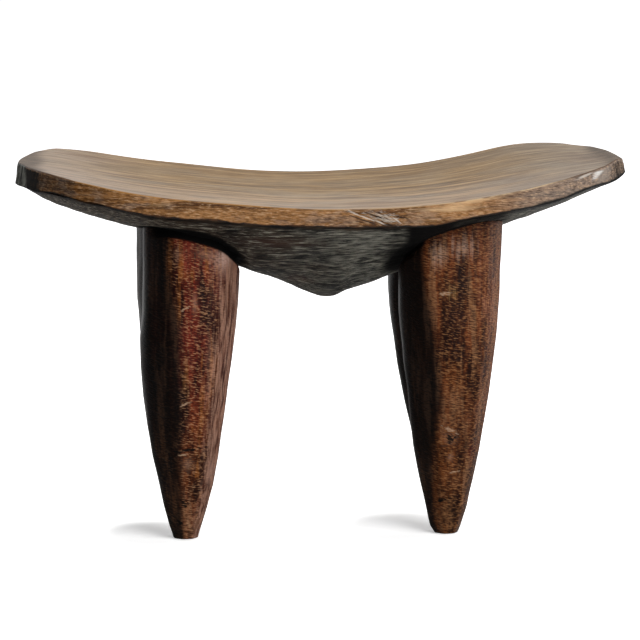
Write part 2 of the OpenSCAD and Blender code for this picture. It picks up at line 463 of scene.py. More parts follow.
# Legs: a foot ring extruded ring by ring to the measured left and right edges, then cut in long facets
legs = {
    # depth is the place of the axis behind the seat's middle, and rubbed how bare hands left the right side.
    # The groove's soot and shade give how far below the hull the black of the stop cut fades, soot and
    # painted shade in the crease; frontUncut is the share of the cut that is left out in front. shadow is the
    # reach of the foot's shadow.
    # darkTo gives a height and how far round from the front the soot and painted shade go there, edges a
    # height and its left and right edge, and ridges the place of each ridge in degrees, at the foot and at
    # the head.
    "legFrontLeft": {
        "node": "leg_front_left", "depth": -70, "seed": 5,
        "rubbedAndSheen": 1.0, "grooveSootAndShade": (4.5, 10.5), "frontUncut": 0.4, "shadow": 66,
        "darkTo": ((15, -8), (50, -7), (100, -1), (133, -4), (180, -8), (225, -24)),
        "edges": ((0, -128.9, -108.9), (10, -132.5, -105.7), (27, -137, -100.3), (44, -140.3, -95.6),
                  (68, -145.3, -91.2), (94, -149.5, -87.5), (118, -152.4, -83.9), (144, -154.6, -80.8),
                  (168, -154.8, -78), (190, -152.8, -75.9), (217, -151.6, -73.9), (262, -151, -72.5)),
        "ridges": ((-158, -158), (-108, -112), (-62, -66), (-14, -23), (30, 38), (80, 84), (126, 128)),
    },
    "legFrontRight": {
        "node": "leg_front_right", "depth": -70, "seed": 17,
        "rubbedAndSheen": 0.25, "grooveSootAndShade": (2, 8), "frontUncut": 0.85, "shadow": 84,
        "darkTo": ((20, -44), (63, -27), (114, -11), (170, -20), (233, -36)),
        "edges": ((0, 86.6, 105.6), (6, 83.2, 108.6), (23, 79, 113.9), (40, 75.1, 117.5), (57, 71.7, 120.9),
                  (74, 68.7, 124.1), (95, 66.1, 127.8), (122, 63.4, 132.1), (150, 60.4, 135.8),
                  (178, 58.6, 138.4), (211, 57, 140), (262, 56.4, 142)),
        "ridges": ((-165, -165), (-115, -120), (-68, -75), (-10, -33), (34, 37), (82, 85), (135, 140)),
    },
    "legBackLeft": {
        "node": "leg_back_left", "depth": 70, "seed": 29,
        "rubbedAndSheen": 0.6, "grooveSootAndShade": (3, 9), "frontUncut": 0, "shadow": 5,
        "darkTo": ((30, -40), (120, -22), (230, -34)),
        "edges": ((0, -122.7, -104.2), (10, -126.3, -100.7), (27, -131, -96), (44, -134.8, -92.2),
                  (68, -139.6, -87.6), (94, -144, -83.1), (120, -147.6, -79.9), (150, -151.4, -76.4),
                  (178, -153.4, -74.8), (200, -153.5, -74), (230, -153, -73.8), (262, -153, -73.5)),
        "ridges": ((-150, -155), (-100, -104), (-55, -52), (-8, -4), (44, 40), (95, 98), (150, 146)),
    },
    "legBackRight": {
        "node": "leg_back_right", "depth": 70, "seed": 41,
        "rubbedAndSheen": 0.6, "grooveSootAndShade": (3, 9), "frontUncut": 0, "shadow": 5,
        "darkTo": ((30, -20), (130, -6), (230, -18)),
        "edges": ((0, 92.5, 111.5), (10, 90, 115), (27, 86.5, 119.5), (44, 83.5, 123), (63, 80.3, 126),
                  (81, 76, 129), (98, 72.2, 131.8), (116, 69, 134), (133, 66.5, 136), (151, 64.4, 138.2),
                  (178, 62, 140.4), (200, 61.2, 141.2), (262, 61, 141.5)),
        "ridges": ((-162, -158), (-120, -116), (-72, -70), (-24, -20), (28, 24), (76, 78), (122, 126)),
    },
}
legCut = {
    "sides": 24,
    "rings": (0, 0.8, 3, 10, 22, 36, 50, 64, 78, 92, 106, 120, 134, 148, 162, 176, 190, 204, 218, 231,
              243, 252, 258, 262),
    "smoothing": 3,
    # How flat the facets are cut, up to where their ridges wander, and the turns that blunt the ridges
    "flatness": 0.6,
    "ridgeTop": 240,
    "blunting": (-7, -2.31, 2.31, 7),
    # Within endFace and headFace a point is on the foot or the head. The leg is stretched to the hull above
    # fitFrom, and its head is buried there. fitSteps is how many heights, and how many degrees apart, the
    # facets are measured at to keep the leg's width.
    "endFace": 0.4,
    "headFace": 0.5,
    "fitFrom": 120,
    "fitSteps": (30, 3.0),
    "bury": 1.6,
    # The stop cut under the hull: its depth, how far down it fades, and where it is left out: on the outer
    # side, by the sine of the angle, and round the front, in degrees. grooveGain spreads its black, soot and
    # painted shade, wider.
    "grooveDepth": 4.2,
    "grooveHeight": (1, 10),
    "outerUncut": (0.5, 0.95),
    "frontRange": (-60, -25, 90, 120),
    "grooveGain": 1.8,
    # Soot and painted shade of the left side, which turns away from the key lamp: range in degrees, the last
    # two counted from its border, and how much of it there is, above and by the foot
    "darkRange": (-175, -150, -15, 10),
    "darkness": 0.85,
    "darkFoot": (0.72, 60, 150),
    # Right side rubbed by hands and given a painted sheen: range in degrees
    "rubbedAndSheenRange": (12, 58, 120, 150),
    # The adze's waves and bites, how far the face stands back for them, and between which heights
    "longWaves": (0.45, (13, 13, 70), 0),
    "bites": (0.45, (17, 17, 22), 3),
    "faceBack": 0.25,
    "faceRange": (0.5, 6, 215, 240),
    # Scars of the front faces: middle, half sizes along x, y and z, and turn in degrees
    "lightScars": (((-120.5, -97, 74.5), (4.5, 22, 1), -10), ((-119.5, -100, 117), (5.5, 22, 1.1), -25),
                   ((-118.5, -104, 196), (5.5, 22, 1.1), -30), ((91, -104, 205), (5.5, 22, 2), 0),
                   ((97, -95, 91), (7, 22, 2), 25), ((101, -92, 55), (5, 22, 1), -8)),
    "palePatches": (((-101, -104, 239), (13, 22, 7), 20), ((-111, -104, 200), (3, 22, 12), 0),
                    ((96.5, -95, 84), (8, 22, 7), 0), ((97, -94, 68), (3.5, 22, 6), 12),
                    ((-118, -98, 66), (7, 22, 8), 0)),
    # Stains of the front faces, each with its colour and how much of it shows; the first, a pale bloom on the
    # front left leg's head, is partly a painted highlight
    "stains": ((((-87, -92, 236), (12, 32, 17), 20), "#dfb9a8", 0.8),
               (((-124, -104, 240), (8, 22, 10), 0), "#8f6a58", 0.5),
               (((-93, -98, 214), (7, 26, 24), 4), "#4a0708", 0.75),
               (((-117, -108, 223), (8, 22, 8), 0), "#99602a", 0.6),
               (((-119, -104, 138), (6, 22, 22), 0), "#a06a3c", 0.5),
               (((-127, -104, 198), (5, 26, 38), 0), "#3a0a09", 0.65),
               (((-98, -88, 58), (5, 22, 14), 8), "#a8877a", 0.6),
               (((-100, -95, 107), (4, 22, 30), 5), "#3f0d09", 0.7),
               (((86, -106, 238), (9, 26, 15), 10), "#bd9c86", 0.65),
               (((106, -110, 242), (15, 26, 13), 0), "#b3927f", 0.65),
               (((97, -111, 206), (8, 22, 10), 0), "#b08452", 0.5),
               (((100, -110, 188), (11, 22, 8), 0), "#2a0503", 0.3),
               (((98, -103, 132), (15, 26, 26), 0), "#8a4c22", 0.5),
               (((115, -90, 72), (8, 22, 14), 20), "#4a1109", 0.7),
               (((106, -93, 98), (19, 28, 42), 0), "#3e1907", 0.6),
               (((83, -90, 67), (4, 22, 15), 0), "#3a0d09", 0.6),
               (((97, -88, 51), (10, 22, 13), 0), "#7d4c2c", 0.5),
               (((129, -95, 181), (2, 22, 18), 0), "#47241c", 0.7),
               (((-119, -82, 20), (11, 24, 26), 0), "#b98d6a", 0.55),
               (((96, -82, 18), (11, 24, 24), 0), "#a5754e", 0.35)),
    "darkScars": (((-118, -97, 78), (13, 22, 1.3), -8), ((-120, -84, 32), (4, 16, 3.6), 35),
                  ((-124, -80, 15), (3, 14, 3), 40), ((96.5, -95, 84), (4.5, 22, 4), 20),
                  ((91.8, -84, 31), (4.4, 16, 1.9), -15)),
}


def middleAndHalf(leg, z):
    # Middle and half width of the leg at the height z, as it is seen from the front
    heights, lefts, rights = np.array(leg["edges"], float).T
    left, right = np.interp(z, heights, lefts), np.interp(z, heights, rights)
    return (left + right) / 2, (right - left) / 2


def facetReach(leg, angle, z):
    # How far a facet's surface stands from the axis, as a share of the leg's half width
    foot, head = np.radians(np.array(leg["ridges"], float)).T
    share = np.clip(z / legCut["ridgeTop"], 0, 1)
    starts = foot[:, None] + (head - foot)[:, None] * share[None, :]
    starts = np.vstack([starts, starts[:1] + 2 * math.pi])
    blunted = np.zeros_like(angle)
    for shift in legCut["blunting"]:
        turned = np.mod(angle + math.radians(shift) - starts[0], 2 * math.pi) + starts[0]
        reach = np.ones_like(angle)
        for a, b in zip(starts[:-1], starts[1:]):
            inside = (turned >= a) & (turned < b)
            flat = np.cos((b - a) / 2) / np.cos(turned - (a + b) / 2)
            reach = np.where(inside, 1 + legCut["flatness"] * (flat - 1), reach)
        blunted += reach / len(legCut["blunting"])
    return blunted


def shapeLeg(piece, leg):
    points = pointsOf(piece)
    z = points[:, 2]
    head = legCut["rings"][-1]
    middle, half = middleAndHalf(leg, z)
    away = points[:, :2] - np.stack([middle, np.full_like(z, leg["depth"])], 1)
    angle = np.arctan2(away[:, 0], -away[:, 1])
    turned = np.degrees(angle)
    share = np.minimum(np.linalg.norm(away, axis=1) / np.maximum(half, 1), 1)
    # On the outside the share is 1; inside the foot and the head it stays what it is.
    share = np.where((z > legCut["endFace"]) & (z < head - legCut["endFace"]), 1, share)
    # Widest reach to each side, so that the facets keep the measured edges
    count, apart = legCut["fitSteps"]
    heights = np.linspace(0, head, count)
    angles, levels = (each.ravel() for each in np.meshgrid(np.radians(np.arange(-180, 180, apart)), heights))
    aside = (facetReach(leg, angles, levels) * np.sin(angles)).reshape(count, -1)
    leftFit, rightFit = (np.interp(z, heights, widest) for widest in (-aside.min(1), aside.max(1)))
    fit = np.where(np.sin(angle) < 0, leftFit, rightFit)
    reach = facetReach(leg, angle, z) * share
    x = middle + half * reach * np.sin(angle) / fit
    y = leg["depth"] - half * reach * np.cos(angle)
    top = hullHeight(x, y) + legCut["bury"]
    z = z + smooth(z, legCut["fitFrom"], head) * (top - head)
    # The leg rolls in under the hull, where the stop cut was made, but not on its outer side.
    outward = 1 if middle[0] > 0 else -1
    cut = 1 - smooth(outward * np.sin(angle), *legCut["outerUncut"])
    cut *= 1 - leg["frontUncut"] * between(turned, *legCut["frontRange"])
    roll = 1 - legCut["grooveDepth"] / half * cut * (1 - smooth(top - z, *legCut["grooveHeight"]))
    x = middle + (x - middle) * roll
    y = leg["depth"] + (y - leg["depth"]) * roll
    z = np.where(top - z < legCut["headFace"], hullHeight(x, y) + legCut["bury"], z)
    movePoints(piece, np.stack([x, y, z], 1))
    # Soot and painted shade: over the whole left side, and in the stop cut
    border = np.interp(z, *np.array(leg["darkTo"], float).T)
    start, full, fade, end = legCut["darkRange"]
    footShare, low, high = legCut["darkFoot"]
    darkSide = between(turned, start, full, border + fade, border + end)
    darkSide *= footShare + (1 - footShare) * smooth(z, low, high)
    addLayer(piece, "sootAndShade", darkSide * legCut["darkness"])
    groove = (1 - smooth(top - z, *leg["grooveSootAndShade"])) * np.minimum(legCut["grooveGain"] * cut, 1)
    addLayer(piece, "groove", groove)
    addLayer(piece, "rubbedAndSheen", leg["rubbedAndSheen"] * between(turned, *legCut["rubbedAndSheenRange"]))


def makeLeg(name, leg):
    freeHands()
    middle, half = middleAndHalf(leg, 0)
    bpy.ops.mesh.primitive_circle_add(vertices=legCut["sides"], radius=half * mm, fill_type="NGON",
                                      location=(middle * mm, leg["depth"] * mm, 0))
    piece = bpy.context.object
    piece.name = piece.data.name = name
    bpy.ops.object.transform_apply(location=True, rotation=True, scale=True)
    bpy.ops.object.mode_set(mode="EDIT")
    bpy.ops.mesh.select_all(action="SELECT")
    for low, high in zip(legCut["rings"][:-1], legCut["rings"][1:]):
        nextMiddle, nextHalf = middleAndHalf(leg, high)
        step = ((nextMiddle - middle) * mm, 0, (high - low) * mm)
        bpy.ops.mesh.extrude_region_move(TRANSFORM_OT_translate={"value": step})
        grow = nextHalf / half
        bpy.ops.transform.resize(value=(grow, grow, 1),
                                 center_override=(nextMiddle * mm, leg["depth"] * mm, high * mm))
        middle, half = nextMiddle, nextHalf
    bpy.ops.mesh.select_all(action="SELECT")
    bpy.ops.mesh.normals_make_consistent(inside=False)
    bpy.ops.object.mode_set(mode="OBJECT")
    smoothed(piece, legCut["smoothing"])
    shapeLeg(piece, leg)
    points = pointsOf(piece)
    amount = tooled(points, legCut["longWaves"], leg["seed"]) - legCut["faceBack"]
    amount += tooled(points, legCut["bites"], leg["seed"])
    pushOut(piece, amount * between(points[:, 2], *legCut["faceRange"]))
    takeUp(piece)
    bpy.ops.object.shade_smooth()
    print(name, "made:", len(piece.data.polygons), "faces")
    return piece


legPieces = {name: makeLeg(name, leg) for name, leg in legs.items()}


# Underside: the hull that deepens to the blunt keel, left rough from the adze
hull = {
    "strokes": (0.7, (26, 9, 5), 7),
    "hollows": (0.9, (48, 30, 24), 13),
    # How far below the edge the strokes begin and are full
    "roughFrom": (1.5, 9),
    # Height of the legs' heads, and depth and half width of the stop cut round them
    "headHeight": 235,
    "stopCut": (1.6, 7),
    # Reach of smoke and painted shade round a head; by the front right leg it goes from wide to narrow
    # between two places
    "smokeShadeInset": 2, "smokeShadeReach": 13, "rightSmokeShade": (27, 4, 66, 86),
    # Wood blackened, with painted shade under the seat's edge, up to the edge beside that leg: range along x;
    # the share taken off in front of the leg, and between which places; and how far in front of the middle
    # line it starts and is full
    "blackenedAndShaded": (52, 68, 132, 152), "blackThin": (0.42, 84, 104), "blackFront": (25, 75),
    # How the open border is closed, hidden in the wood above
    "lift": 1.2, "squeeze": (0.99, 0.985, 1),
    "redPatches": (((-22, -45, 211), (20, 40, 7), 12), ((-46, -106, 250), (46, 34, 8), 4),
                   ((4, -10, 193), (17, 30, 9), 0)),
}
belly = startGrid("undersideHull")
plan = planPoint(layerOf(belly, "along"), layerOf(belly, "over"))
x, y = plan[:, 0], plan[:, 1]
movePoints(belly, np.stack([x, y, hullHeight(x, y)], 1))
smoothed(belly, 1)
points = pointsOf(belly)
x, y, z = points.T
below = lowerHeight(x, y) - z
inside = smooth(below, *hull["roughFrom"])
amount = inside * (tooled(points, hull["strokes"]) + tooled(points, hull["hollows"]))
sootAndShade = np.zeros(len(points))
cutDepth, cutReach = hull["stopCut"]
wide, narrow, start, end = hull["rightSmokeShade"]
for leg in legs.values():
    middle, half = middleAndHalf(leg, hull["headHeight"])
    gap = np.hypot(x - middle, y - leg["depth"]) - half
    # The smoke and painted shade lie thickest left of the front right leg and thin in front of it.
    beside = narrow + (wide - narrow) * (1 - smooth(x, start, end))
    reach = np.where((x > 0) & (y < 0), beside, hull["smokeShadeReach"])
    sootAndShade = np.maximum(sootAndShade, 1 - smooth(np.abs(gap + hull["smokeShadeInset"]), 0, reach))
    amount -= cutDepth * near(gap, 0, cutReach) * inside
thinner, start, end = hull["blackThin"]
blackenedAndShaded = between(x, *hull["blackenedAndShaded"]) * smooth(-y, *hull["blackFront"])
blackenedAndShaded *= 1 - thinner * smooth(x, start, end)
addLayer(belly, "sootAndShade", np.maximum(sootAndShade, blackenedAndShaded))
addLayer(belly, "below", np.maximum(below, 0))
takeUp(belly, "EDIT")
bpy.ops.mesh.select_all(action="SELECT")
bpy.ops.mesh.flip_normals()
bpy.ops.object.mode_set(mode="OBJECT")
pushOut(belly, amount)
closeBorder(belly, hull["lift"], hull["squeeze"])
print("underside made:", len(belly.data.polygons), "faces")


def addNode(material, kind, settings=None, inputs=None):
    # Adds one node: its settings, and a value or another node's output for each input
    node = material.node_tree.nodes.new(kind)
    for name, value in (settings or {}).items():
        setattr(node, name, value)
    for socket, value in (inputs or {}).items():
        if isinstance(value, bpy.types.NodeSocket):
            material.node_tree.links.new(value, node.inputs[socket])
        elif isinstance(value, str):
            node.inputs[socket].default_value = linear(value)
        elif node.inputs[socket].type == "RGBA" and isinstance(value, float):
            node.inputs[socket].default_value = (value, value, value, 1)
        else:
            node.inputs[socket].default_value = value
    return node


def startMaterial(name):
    material = bpy.data.materials.new(name)
    material.use_nodes = True
    material.node_tree.nodes.clear()
    return material


def woodPattern(material, place, size, detail=3, rough=0.55, turn=0):
    # Fibres, blots or pores: noise whose waves are size millimetres long on x, y and z
    stretched = addNode(material, "ShaderNodeMapping", {"vector_type": "TEXTURE"}, {
        "Vector": place, "Scale": [s * mm for s in size], "Rotation": (0, math.radians(turn), 0)})
    noisy = addNode(material, "ShaderNodeTexNoise", None, {
        "Vector": stretched.outputs[0], "Scale": 1.0, "Detail": detail, "Roughness": rough})
    return noisy.outputs["Fac"]


def stained(material, under, over, pattern, low, high, most=1.0, frayed=None):
    # Lays one colour or value over another where the pattern runs from low to high; a second pattern,
    # given with its weight, frays the border between them
    if frayed:
        pattern = addNode(material, "ShaderNodeMath", {"operation": "MULTIPLY_ADD"},
                          {0: frayed[0], 1: frayed[1], 2: pattern}).outputs[0]
    share = addNode(material, "ShaderNodeMapRange", {"interpolation_type": "SMOOTHSTEP"}, {
        "Value": pattern, "From Min": low, "From Max": high, "To Max": most})
    mixed = addNode(material, "ShaderNodeMix", {"data_type": "RGBA"},
                    {0: share.outputs[0], 6: under, 7: over})
    return mixed.outputs[2]


# How far a mark reaches in its half sizes, and how much of that the pattern tears off at its highest
markEdge = {"reach": 2.5, "torn": 3.0}


def markAt(material, place, mark, ragged):
    # One scar of the wood: an ellipsoid, highest in its middle and 0 at the edge that the pattern tears
    middle, size, turn = mark
    local = addNode(material, "ShaderNodeMapping", {"vector_type": "TEXTURE"}, {
        "Vector": place, "Location": [c * mm for c in middle], "Scale": [s * mm for s in size],
        "Rotation": (0, math.radians(turn), 0)})
    away = addNode(material, "ShaderNodeVectorMath", {"operation": "LENGTH"}, {0: local.outputs[0]})
    left = addNode(material, "ShaderNodeMath", {"operation": "SUBTRACT"},
                   {0: markEdge["reach"], 1: away.outputs["Value"]})
    return addNode(material, "ShaderNodeMath", {"operation": "MULTIPLY_ADD"},
                   {0: ragged, 1: -markEdge["torn"], 2: left.outputs[0]}).outputs[0]


def finished(material, colour, rough, height, depth, gloss):
    bump = addNode(material, "ShaderNodeBump", None, {
        "Height": height, "Strength": 1.0, "Distance": depth * mm})
    shader = addNode(material, "ShaderNodeBsdfPrincipled", None, {
        "Base Color": colour, "Roughness": rough, "Normal": bump.outputs[0],
        "IOR": 1.5, "Specular IOR Level": gloss})
    addNode(material, "ShaderNodeOutputMaterial", None, {"Surface": shader.outputs[0]})
    return material


def dress(piece, material, node):
    piece.data.materials.clear()
    piece.data.materials.append(material)
    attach(piece, "root")
    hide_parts(node)


# Hardwood rubbed by sitting: grey-brown with a satin film on top, bare ochre wood on the hacked edge.
# Colours in pairs are the dark and the light one of a pattern.
satinFinish = {
    "rings": ("#765a3c", "#ccab80"), "wear": "#9c9182",
    "rear": "#8c6a38", "front": "#ad9686", "right": "#918b84", "left": "#bdb0a8", "ends": "#54463a",
    "pores": ("#4a3622", "#dcc29c"),
    "edge": ("#563414", "#996b3e"), "edgeWear": "#8d7c70", "edgeRight": "#7f7268",
    "specks": ("#1f0f06", "#d8b48c"),
    "arrisLeft": "#a5763f", "arrisRight": "#c0a684", "leftTip": "#65503d", "rightTip": "#584536",
    "arrisChips": "#4f3018",
    "low": ("#0c0704", "#4a2e19"), "lowRight": "#0b0907",
    "black": "#0a0705", "greyTip": ("#2a2a26", "#a2a298"),
    "splinters": ("#2c1e16", "#cfc4b6"), "lightScar": "#d3c9bc", "darkScar": "#23160e",
    "topRough": 0.46, "edgeRough": 0.55, "sootRough": 0.9, "relief": 0.5, "gloss": 0.15,
}


def makeSeatWood():
    wood = startMaterial("satHardwood")
    tint = satinFinish
    place = addNode(wood, "ShaderNodeTexCoord").outputs["Object"]
    along, across = addNode(wood, "ShaderNodeSeparateXYZ", None, {0: place}).outputs[:2]
    girth, sootAndShade = (addNode(wood, "ShaderNodeAttribute", {"attribute_name": label}).outputs["Fac"]
                   for label in ("girth", "sootAndShade"))
    # Year rings run along the seat as golden and brown streaks, under grey-pink clouds of wear.
    rings = woodPattern(wood, place, (110, 10, 60), 4, 0.6)
    top = stained(wood, *tint["rings"], rings, 0.36, 0.62)
    clouds = woodPattern(wood, place, (75, 38, 60), 4)
    top = stained(wood, top, tint["wear"], clouds, 0.44, 0.6, 0.6)
    # The front half is paler and pinker than the golden rear and the left is paler too, partly rubbed and
    # partly a painted sheen; the ends are browner.
    top = stained(wood, top, tint["rear"], across, -0.02, 0.11, 0.6, (rings, 0.1))
    top = stained(wood, top, tint["front"], across, 0.02, -0.1, 0.5)
    top = stained(wood, top, tint["right"], along, 0.12, 0.22, 0.5)
    top = stained(wood, top, tint["left"], along, -0.08, -0.2, 0.5, (clouds, 0.1))
    for end in (-1, 1):
        top = stained(wood, top, tint["ends"], along, end * 0.236, end * 0.25, 0.8, (clouds, end * 0.02))
    for mark, stain, share in seat["streaks"]:
        top = stained(wood, top, stain, markAt(wood, place, mark, rings), 0.0, 1.2, share)
    # Pores are drawn four times as wide as real ones, so that they show at this distance.
    pores = woodPattern(wood, place, (40, 4.2, 60), 4, 0.7)
    top = stained(wood, top, tint["pores"][0], pores, 0.5, 0.37, 0.46)
    top = stained(wood, top, tint["pores"][1], pores, 0.52, 0.66, 0.34)
    # The edge was hacked across short fibres; its specks are drawn twice as big as they are.
    bands = woodPattern(wood, place, (80, 80, 3.6), 5, 0.65)
    edge = stained(wood, *tint["edge"], bands, 0.36, 0.6)
    edge = stained(wood, edge, tint["edgeWear"], woodPattern(wood, place, (20, 20, 8), 3), 0.5, 0.66, 0.35)
    edge = stained(wood, edge, tint["edgeRight"], along, 0.11, 0.18, 0.75)
    specks = woodPattern(wood, place, (5, 5, 0.9), 3, 0.6, 4)
    edge = stained(wood, edge, tint["specks"][0], specks, 0.5, 0.37, 0.55)
    edge = stained(wood, edge, tint["specks"][1], specks, 0.52, 0.68, 0.42)
    # Worn patches, and the painted glint and sheen at the right end
    for mark, stain, share in seat["palePatches"]:
        edge = stained(wood, edge, stain, markAt(wood, place, mark, bands), 0.0, 0.9, share)
    # The rounded arris is orange at the left and pale to the right, partly worn and partly a painted
    # highlight, and brown by both tips.
    arris = stained(wood, tint["arrisLeft"], tint["arrisRight"], along, 0.0, 0.16, 1.0, (clouds, 0.1))
    arris = stained(wood, arris, tint["rightTip"], along, 0.17, 0.2)
    arris = stained(wood, arris, tint["leftTip"], along, -0.2, -0.23)
    chips = woodPattern(wood, place, (20, 20, 4), 4)
    arris = stained(wood, arris, tint["arrisChips"], chips, 0.52, 0.38, 0.7)
    low = stained(wood, *tint["low"], woodPattern(wood, place, (10, 10, 3), 3), 0.4, 0.7)
    torn = woodPattern(wood, place, (14, 14, 6), 4)
    colour = stained(wood, top, arris, girth, 1.2, 1.9)
    colour = stained(wood, colour, edge, girth, 2.2, 3.2)
    # Soot and painted shade creep up the edge from below, where it turns under the seat, higher towards the
    # right tip.
    low = stained(wood, low, tint["lowRight"], along, 0.1, 0.16)
    creep = stained(wood, torn, 1.0, along, 0.1, 0.17, 0.35)
    colour = stained(wood, colour, low, girth, 8.8, 9.5, 1.0, (creep, 1.8))
    # Hands and smoke have blackened the left end, darkened further as painted shade; its grey tip is a
    # painted reflection.
    smears = woodPattern(wood, place, (3, 3, 13), 4, 0.65)
    colour = stained(wood, colour, tint["black"], sootAndShade, 1.05, 1.75, 0.96, (smears, 1.6))
    # The grey of the left tip is a painted reflection of the bright studio along its edge
    grey = stained(wood, *tint["greyTip"], smears, 0.4, 0.6)
    tip = stained(wood, 0.0, stained(wood, 0.0, 1.0, along, -0.2435, -0.2465), girth, 2, 3)
    colour = stained(wood, colour, grey, tip, 0, 1)
    # Splinters lie along the gash, light and dark.
    fibres = woodPattern(wood, place, (13, 13, 0.9), 3, 0.7, 22)
    splinters = stained(wood, *tint["splinters"], fibres, 0.42, 0.58)
    gash = markAt(wood, place, seat["splinters"], specks)
    colour = stained(wood, colour, splinters, gash, 0.0, 0.7, 0.75)
    for mark in seat["lightScars"]:
        colour = stained(wood, colour, tint["lightScar"], markAt(wood, place, mark, fibres), 0.0, 0.6, 0.7)
    for mark in seat["darkScars"]:
        colour = stained(wood, colour, tint["darkScar"], markAt(wood, place, mark, fibres), 0.0, 0.5, 0.85)
    rough = stained(wood, tint["topRough"], tint["edgeRough"], girth, 1, 4)
    rough = stained(wood, rough, tint["sootRough"], sootAndShade, 0.2, 0.8)
    relief = stained(wood, pores, specks, girth, 1, 4)
    return finished(wood, colour, rough, relief, tint["relief"], tint["gloss"])


# Smoked hardwood, left as the adze left it: soot-grey, dull, with strokes along the grain
smokedFinish = {
    "left": "#4b4136", "right": "#8d8b80", "blots": "#191612", "farLeft": "#77695a", "farRight": "#716f66",
    "strokes": ("#040303", "#d6d0bd"), "red": "#5c392c",
    "bevel": ("#050302", "#463523"), "bevelRight": "#24221d", "sootAndShade": "#030202",
    "rough": 0.6, "sootRough": 0.9, "relief": 1.0, "gloss": 0.2,
}


def makeUndersideWood():
    wood = startMaterial("smokedHardwood")
    tint = smokedFinish
    place = addNode(wood, "ShaderNodeTexCoord").outputs["Object"]
    along = addNode(wood, "ShaderNodeSeparateXYZ", None, {0: place}).outputs["X"]
    below, sootAndShade = (addNode(wood, "ShaderNodeAttribute", {"attribute_name": label}).outputs["Fac"]
                   for label in ("below", "sootAndShade"))
    # Brown at the left and grey at the right, where the smoke was rubbed off, in broad blots
    blots = woodPattern(wood, place, (44, 34, 16), 4)
    colour = stained(wood, tint["left"], tint["right"], along, 0.06, 0.17, 1.0, (blots, 0.25))
    colour = stained(wood, colour, tint["blots"], blots, 0.5, 0.62, 0.8)
    colour = stained(wood, colour, tint["farLeft"], along, -0.1, -0.16, 0.7)
    # Paler grey at the far right, partly a painted sheen
    colour = stained(wood, colour, tint["farRight"], along, 0.1, 0.17, 0.75)
    # Strokes are drawn about twice as tall as the real cuts, so that they show at this distance.
    strokes = woodPattern(wood, place, (16, 2.6, 1.4), 5, 0.72)
    colour = stained(wood, colour, tint["strokes"][0], strokes, 0.51, 0.41, 0.95)
    colour = stained(wood, colour, tint["strokes"][1], strokes, 0.52, 0.66, 0.68)
    for mark in hull["redPatches"]:
        colour = stained(wood, colour, tint["red"], markAt(wood, place, mark, strokes), 0.0, 1.4, 0.6)
    # A near-black band just under the seat's edge: painted shade where the hull turns under it, and smoke
    bevel = stained(wood, *tint["bevel"], woodPattern(wood, place, (26, 26, 3), 4), 0.42, 0.64)
    bevel = stained(wood, bevel, tint["bevelRight"], along, 0.1, 0.16)
    colour = stained(wood, bevel, colour, below, 3.0, 6.5, 1.0, (blots, 4.0))
    # Smoke and painted shade round the legs' heads and under the edge beside the front right leg
    colour = stained(wood, colour, tint["sootAndShade"], sootAndShade, 0.3, 1.0, 1.0, (strokes, 0.4))
    relief = woodPattern(wood, place, (22, 3.2, 1.8), 5, 0.7)
    rough = stained(wood, tint["rough"], tint["sootRough"], sootAndShade, 0.0, 0.6)
    return finished(wood, colour, rough, relief, tint["relief"], tint["gloss"])


# Hardwood stained red and black by oil and hands, with painted shade on the left sides, and pores that run
# across the leg
oiledFinish = {
    "red": ("#260200", "#7c220f"), "brown": ("#2a0f03", "#6e3c17"),
    "paleLeft": "#a8642e", "paleRight": "#8a6243", "darkRuns": "#140201",
    "bareAndSheen": ("#3c180f", "#a27a66"), "worn": "#b98f76",
    "pores": "#0c0201", "brightLeft": "#d29d72", "brightRight": "#b07c50",
    "sootyShade": ("#060302", "#32231a"), "sootyShadePores": "#040302", "groove": "#030202",
    "lightScar": "#c9a586", "darkScar": "#050302",
    "rough": (0.4, 0.56), "sootRough": 0.9, "relief": 0.6, "gloss": 0.12,
}


